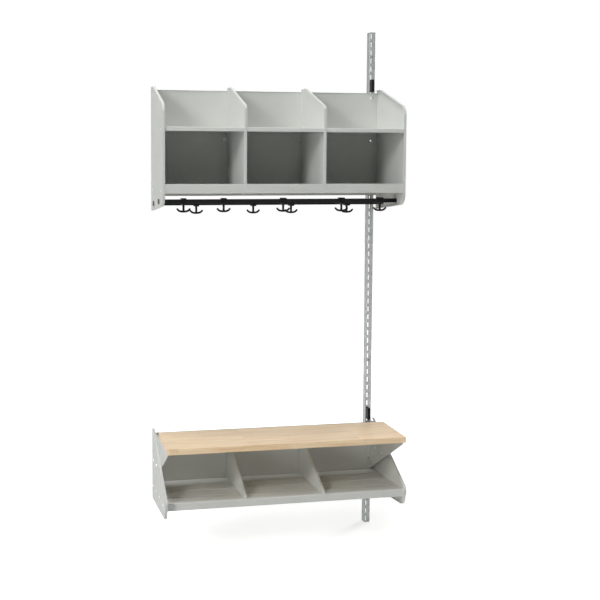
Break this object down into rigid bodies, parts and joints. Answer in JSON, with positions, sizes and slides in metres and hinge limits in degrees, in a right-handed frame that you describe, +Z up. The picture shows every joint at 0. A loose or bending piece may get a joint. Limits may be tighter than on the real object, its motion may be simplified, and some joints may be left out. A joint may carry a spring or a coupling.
{
  "type": "wall-hung cloakroom bay",
  "caption": "Wall-hung cloakroom bay on a slotted rail: open steel cubbies over coat-hook rails with sliding hooks, and a wooden bench above a slatted, divided shoe rack.",
  "frame": {"origin": "on the wall, on the wall rail's centre line, at half the rail's height", "axes": "+X to the viewer's right, -Y out of the wall to the front, +Z up"},
  "size_m": [0.914, 0.38, 1.984],
  "materials": {
    "panel_grey": "satin powder coat, light warm grey",
    "rail_zinc": "galvanised steel",
    "fastener_zinc": "bright zinc plate",
    "hook_rail_black": "satin black powder coat",
    "black_plastic": "moulded nylon, fine grain",
    "seat_wood": "clear lacquered beech"
  },
  "bodies": {
    "root": {"bench_hanger": "rail_zinc", "bench_lock": "black_plastic", "bottom_shelf": "panel_grey", "bracket_bolts": "fastener_zinc", "bracket_studs": "fastener_zinc", "hook_rail_caps": "black_plastic", "hook_rail_front": "hook_rail_black", "hook_rail_rear": "hook_rail_black", "middle_shelf_centre": "panel_grey", "middle_shelf_left": "panel_grey", "middle_shelf_right": "panel_grey", "rail_spacers": "rail_zinc", "seat_board": "seat_wood", "seat_bracket_left": "panel_grey", "seat_bracket_right": "panel_grey", "seat_screws": "fastener_zinc", "shoe_back_panel": "panel_grey", "shoe_divider_left": "panel_grey", "shoe_divider_right": "panel_grey", "shoe_front_lip": "panel_grey", "shoe_left_panel": "panel_grey", "shoe_right_panel": "panel_grey", "shoe_rivets": "fastener_zinc", "shoe_slat_front": "panel_grey", "shoe_slat_middle": "panel_grey", "shoe_slat_rear": "panel_grey", "upper_back_panel": "panel_grey", "upper_back_studs": "fastener_zinc", "upper_divider_left": "panel_grey", "upper_divider_right": "panel_grey", "upper_divider_rivets": "fastener_zinc", "upper_end_rivets": "fastener_zinc", "upper_hanger": "rail_zinc", "upper_left_panel": "panel_grey", "upper_lock": "black_plastic", "upper_right_panel": "panel_grey", "wall_rail": "rail_zinc"},
    "front_hook_1": {"front_hook_1": "black_plastic"},
    "front_hook_2": {"front_hook_2": "black_plastic"},
    "front_hook_3": {"front_hook_3": "black_plastic"},
    "front_hook_4": {"front_hook_4": "black_plastic"},
    "front_hook_5": {"front_hook_5": "black_plastic"},
    "rear_hook_1": {"rear_hook_1": "black_plastic"},
    "rear_hook_2": {"rear_hook_2": "black_plastic"},
    "rear_hook_3": {"rear_hook_3": "black_plastic"},
    "rear_hook_4": {"rear_hook_4": "black_plastic"}
  },
  "joints": [
    {"name": "front_hook_1_slide", "type": "slide", "parent": "root", "child": "front_hook_1", "axis": [1, 0, 0], "range_m": [-0.052, 0.047]},
    {"name": "front_hook_2_slide", "type": "slide", "parent": "root", "child": "front_hook_2", "axis": [1, 0, 0], "range_m": [-0.047, 0.085]},
    {"name": "front_hook_3_slide", "type": "slide", "parent": "root", "child": "front_hook_3", "axis": [1, 0, 0], "range_m": [-0.085, 0.085]},
    {"name": "front_hook_4_slide", "type": "slide", "parent": "root", "child": "front_hook_4", "axis": [1, 0, 0], "range_m": [-0.085, 0.048]},
    {"name": "front_hook_5_slide", "type": "slide", "parent": "root", "child": "front_hook_5", "axis": [1, 0, 0], "range_m": [-0.048, 0.024]},
    {"name": "rear_hook_1_slide", "type": "slide", "parent": "root", "child": "rear_hook_1", "axis": [1, 0, 0], "range_m": [-0.124, 0.083]},
    {"name": "rear_hook_2_slide", "type": "slide", "parent": "root", "child": "rear_hook_2", "axis": [1, 0, 0], "range_m": [-0.083, 0.047]},
    {"name": "rear_hook_3_slide", "type": "slide", "parent": "root", "child": "rear_hook_3", "axis": [1, 0, 0], "range_m": [-0.047, 0.085]},
    {"name": "rear_hook_4_slide", "type": "slide", "parent": "root", "child": "rear_hook_4", "axis": [1, 0, 0], "range_m": [-0.085, 0.108]}
  ]
}
